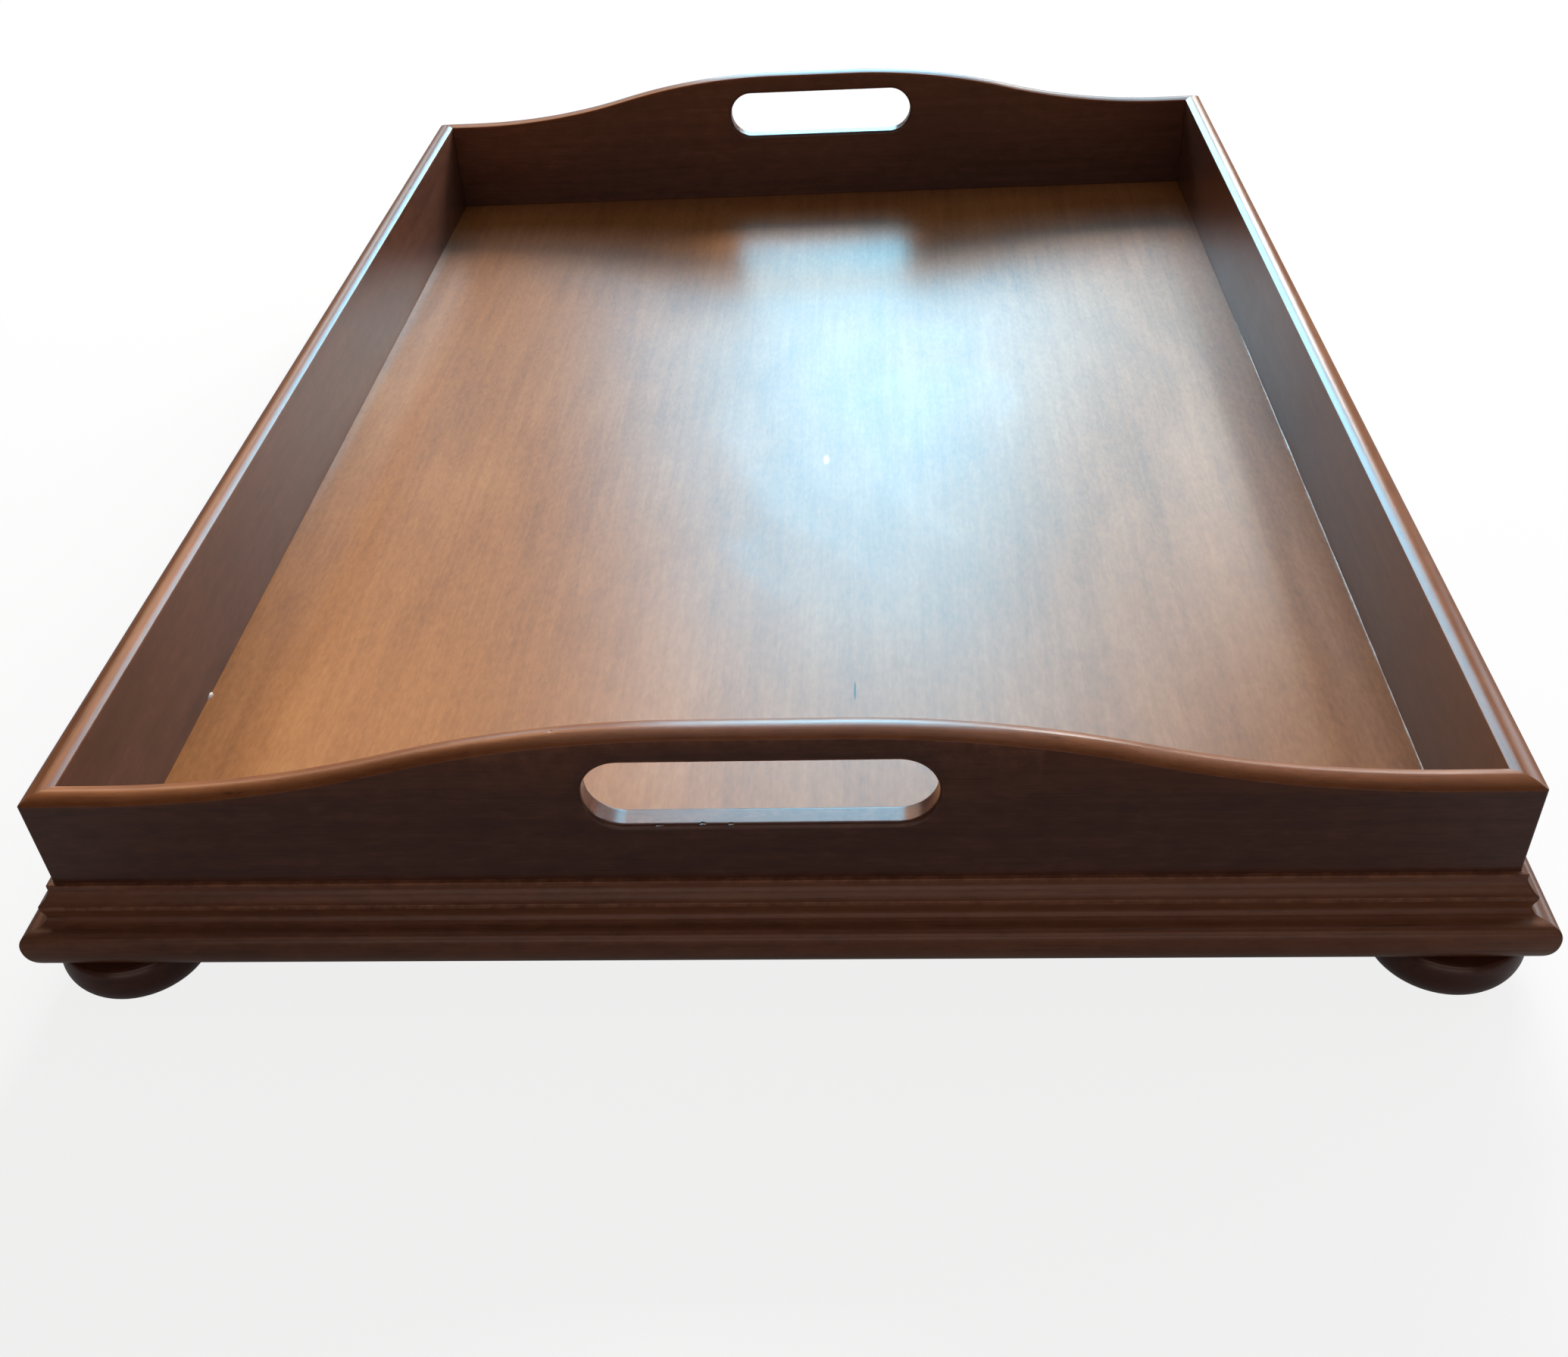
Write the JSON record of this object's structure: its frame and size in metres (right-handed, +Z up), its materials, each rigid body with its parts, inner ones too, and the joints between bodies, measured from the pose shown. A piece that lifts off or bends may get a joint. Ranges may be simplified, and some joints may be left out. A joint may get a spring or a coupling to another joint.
{
  "type": "wooden serving tray",
  "caption": "Rectangular wooden serving tray with mitred walls, scalloped ends with handle slots, a moulded base and turned bun feet.",
  "frame": {"origin": "middle of the tray, on the surface that its feet stand on", "axes": "+X across the tray, +Y along it from one handle end to the other, +Z up"},
  "size_m": [0.4648, 0.6288, 0.1],
  "materials": {
    "wall_wood": "stained mid reddish brown, satin-gloss lacquer",
    "floor_veneer": "stained golden brown, fine straight grain, gloss lacquer",
    "moulding_wood": "stained reddish brown, satin-gloss lacquer",
    "foot_wood": "turned, stained very dark brown, satin lacquer",
    "bare_wood": "unfinished softwood, planed",
    "screw_steel": "yellow-passivated, slightly dull"
  },
  "bodies": {
    "root": {"tray_floor": "floor_veneer", "end_panel_front": "wall_wood", "end_panel_back": "wall_wood", "side_panel_left": "wall_wood", "side_panel_right": "wall_wood", "base_moulding_front": "moulding_wood", "base_moulding_back": "moulding_wood", "base_moulding_left": "moulding_wood", "base_moulding_right": "moulding_wood", "bun_foot_front_left": "foot_wood", "bun_foot_front_right": "foot_wood", "bun_foot_back_left": "foot_wood", "bun_foot_back_right": "foot_wood", "foot_screw_front_left": "screw_steel", "foot_screw_front_right": "screw_steel", "foot_screw_back_left": "screw_steel", "foot_screw_back_right": "screw_steel", "corner_block_front_left": "bare_wood", "corner_block_front_right": "bare_wood", "corner_block_back_left": "bare_wood", "corner_block_back_right": "bare_wood", "mitre_spline_front_left": "bare_wood", "mitre_spline_front_right": "bare_wood", "mitre_spline_back_left": "bare_wood", "mitre_spline_back_right": "bare_wood"}
  },
  "joints": []
}
